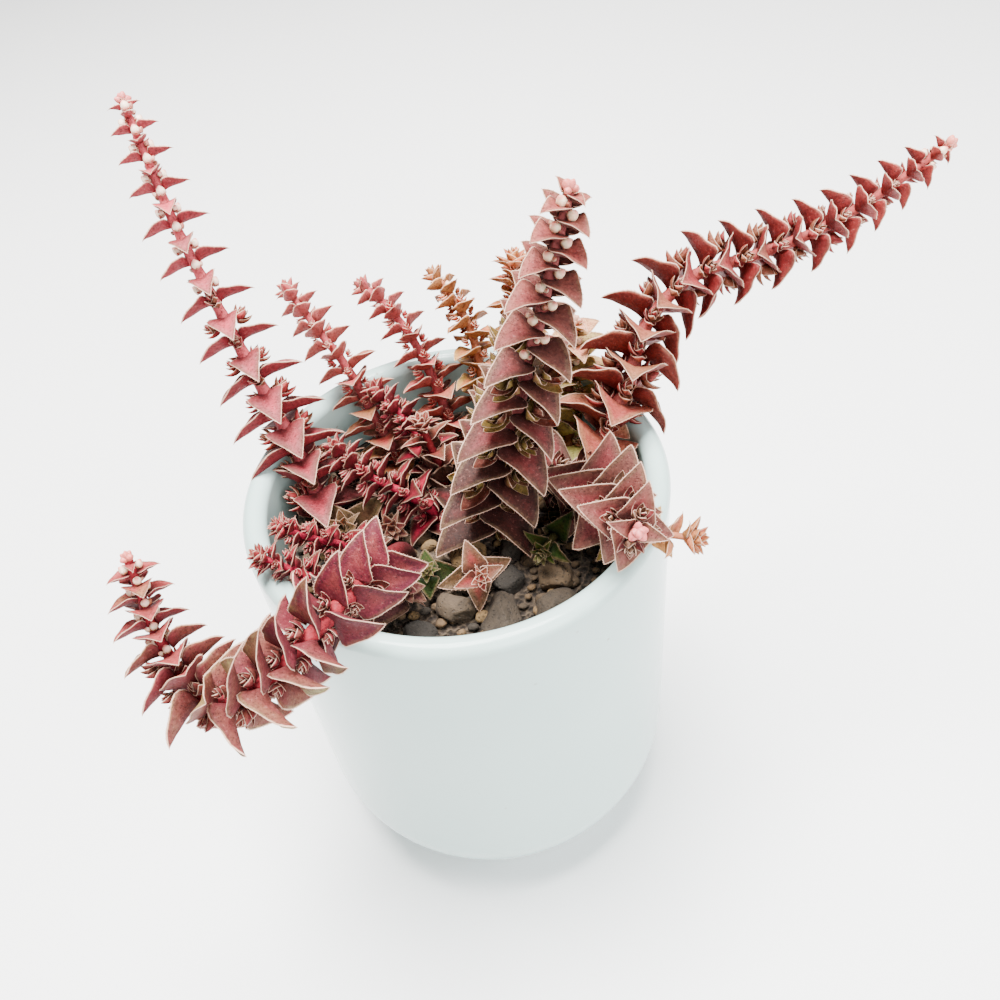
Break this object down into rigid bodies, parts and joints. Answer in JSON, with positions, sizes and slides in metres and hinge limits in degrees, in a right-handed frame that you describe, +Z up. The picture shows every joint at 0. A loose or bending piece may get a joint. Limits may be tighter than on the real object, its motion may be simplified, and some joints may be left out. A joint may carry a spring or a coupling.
{
  "type": "potted succulent",
  "caption": "Red trailing crassula with stacked pairs of pointed leaves on upright and hanging stems, in a plain round white glazed pot.",
  "frame": {"origin": "centre of the pot's flat foot, on the surface that the pot stands on", "axes": "+Z up along the pot's axis; -Y towards the viewer of the picture, +X to the viewer's right"},
  "size_m": [0.153, 0.1045, 0.157],
  "materials": {
    "glaze": "gloss",
    "soil": "matte",
    "gravel": "matte",
    "leaf_red": "satin",
    "leaf_mauve": "satin",
    "leaf_wine": "satin",
    "leaf_salmon": "satin",
    "leaf_orange": "satin",
    "leaf_olive": "satin",
    "leaf_pink": "satin"
  },
  "bodies": {
    "root": {"pot": "glaze", "soil": "soil", "gravel": "gravel", "stem_centre_tall": "leaf_mauve", "stem_left_tall": "leaf_red", "stem_right_long": "leaf_salmon", "stem_front_left": "leaf_wine", "stem_front_right": "leaf_mauve", "stem_rear_right": "leaf_olive", "stem_rear_left": "leaf_red", "stem_rear_middle": "leaf_red", "stem_rear_orange": "leaf_orange", "stem_behind_centre": "leaf_orange", "shoot_inner_left": "leaf_pink", "shoot_inner_rear": "leaf_pink", "shoot_left_upper": "leaf_pink", "shoot_left_lower": "leaf_pink", "shoot_centre_left": "leaf_wine", "shoot_front_middle": "leaf_wine", "shoot_front_green": "leaf_olive", "shoot_under_right": "leaf_olive", "shoot_over_right_rim": "leaf_orange", "shoot_low_left": "leaf_olive", "shoot_low_middle": "leaf_wine", "shoot_low_front": "leaf_mauve", "shoot_low_rear": "leaf_mauve"}
  },
  "joints": []
}
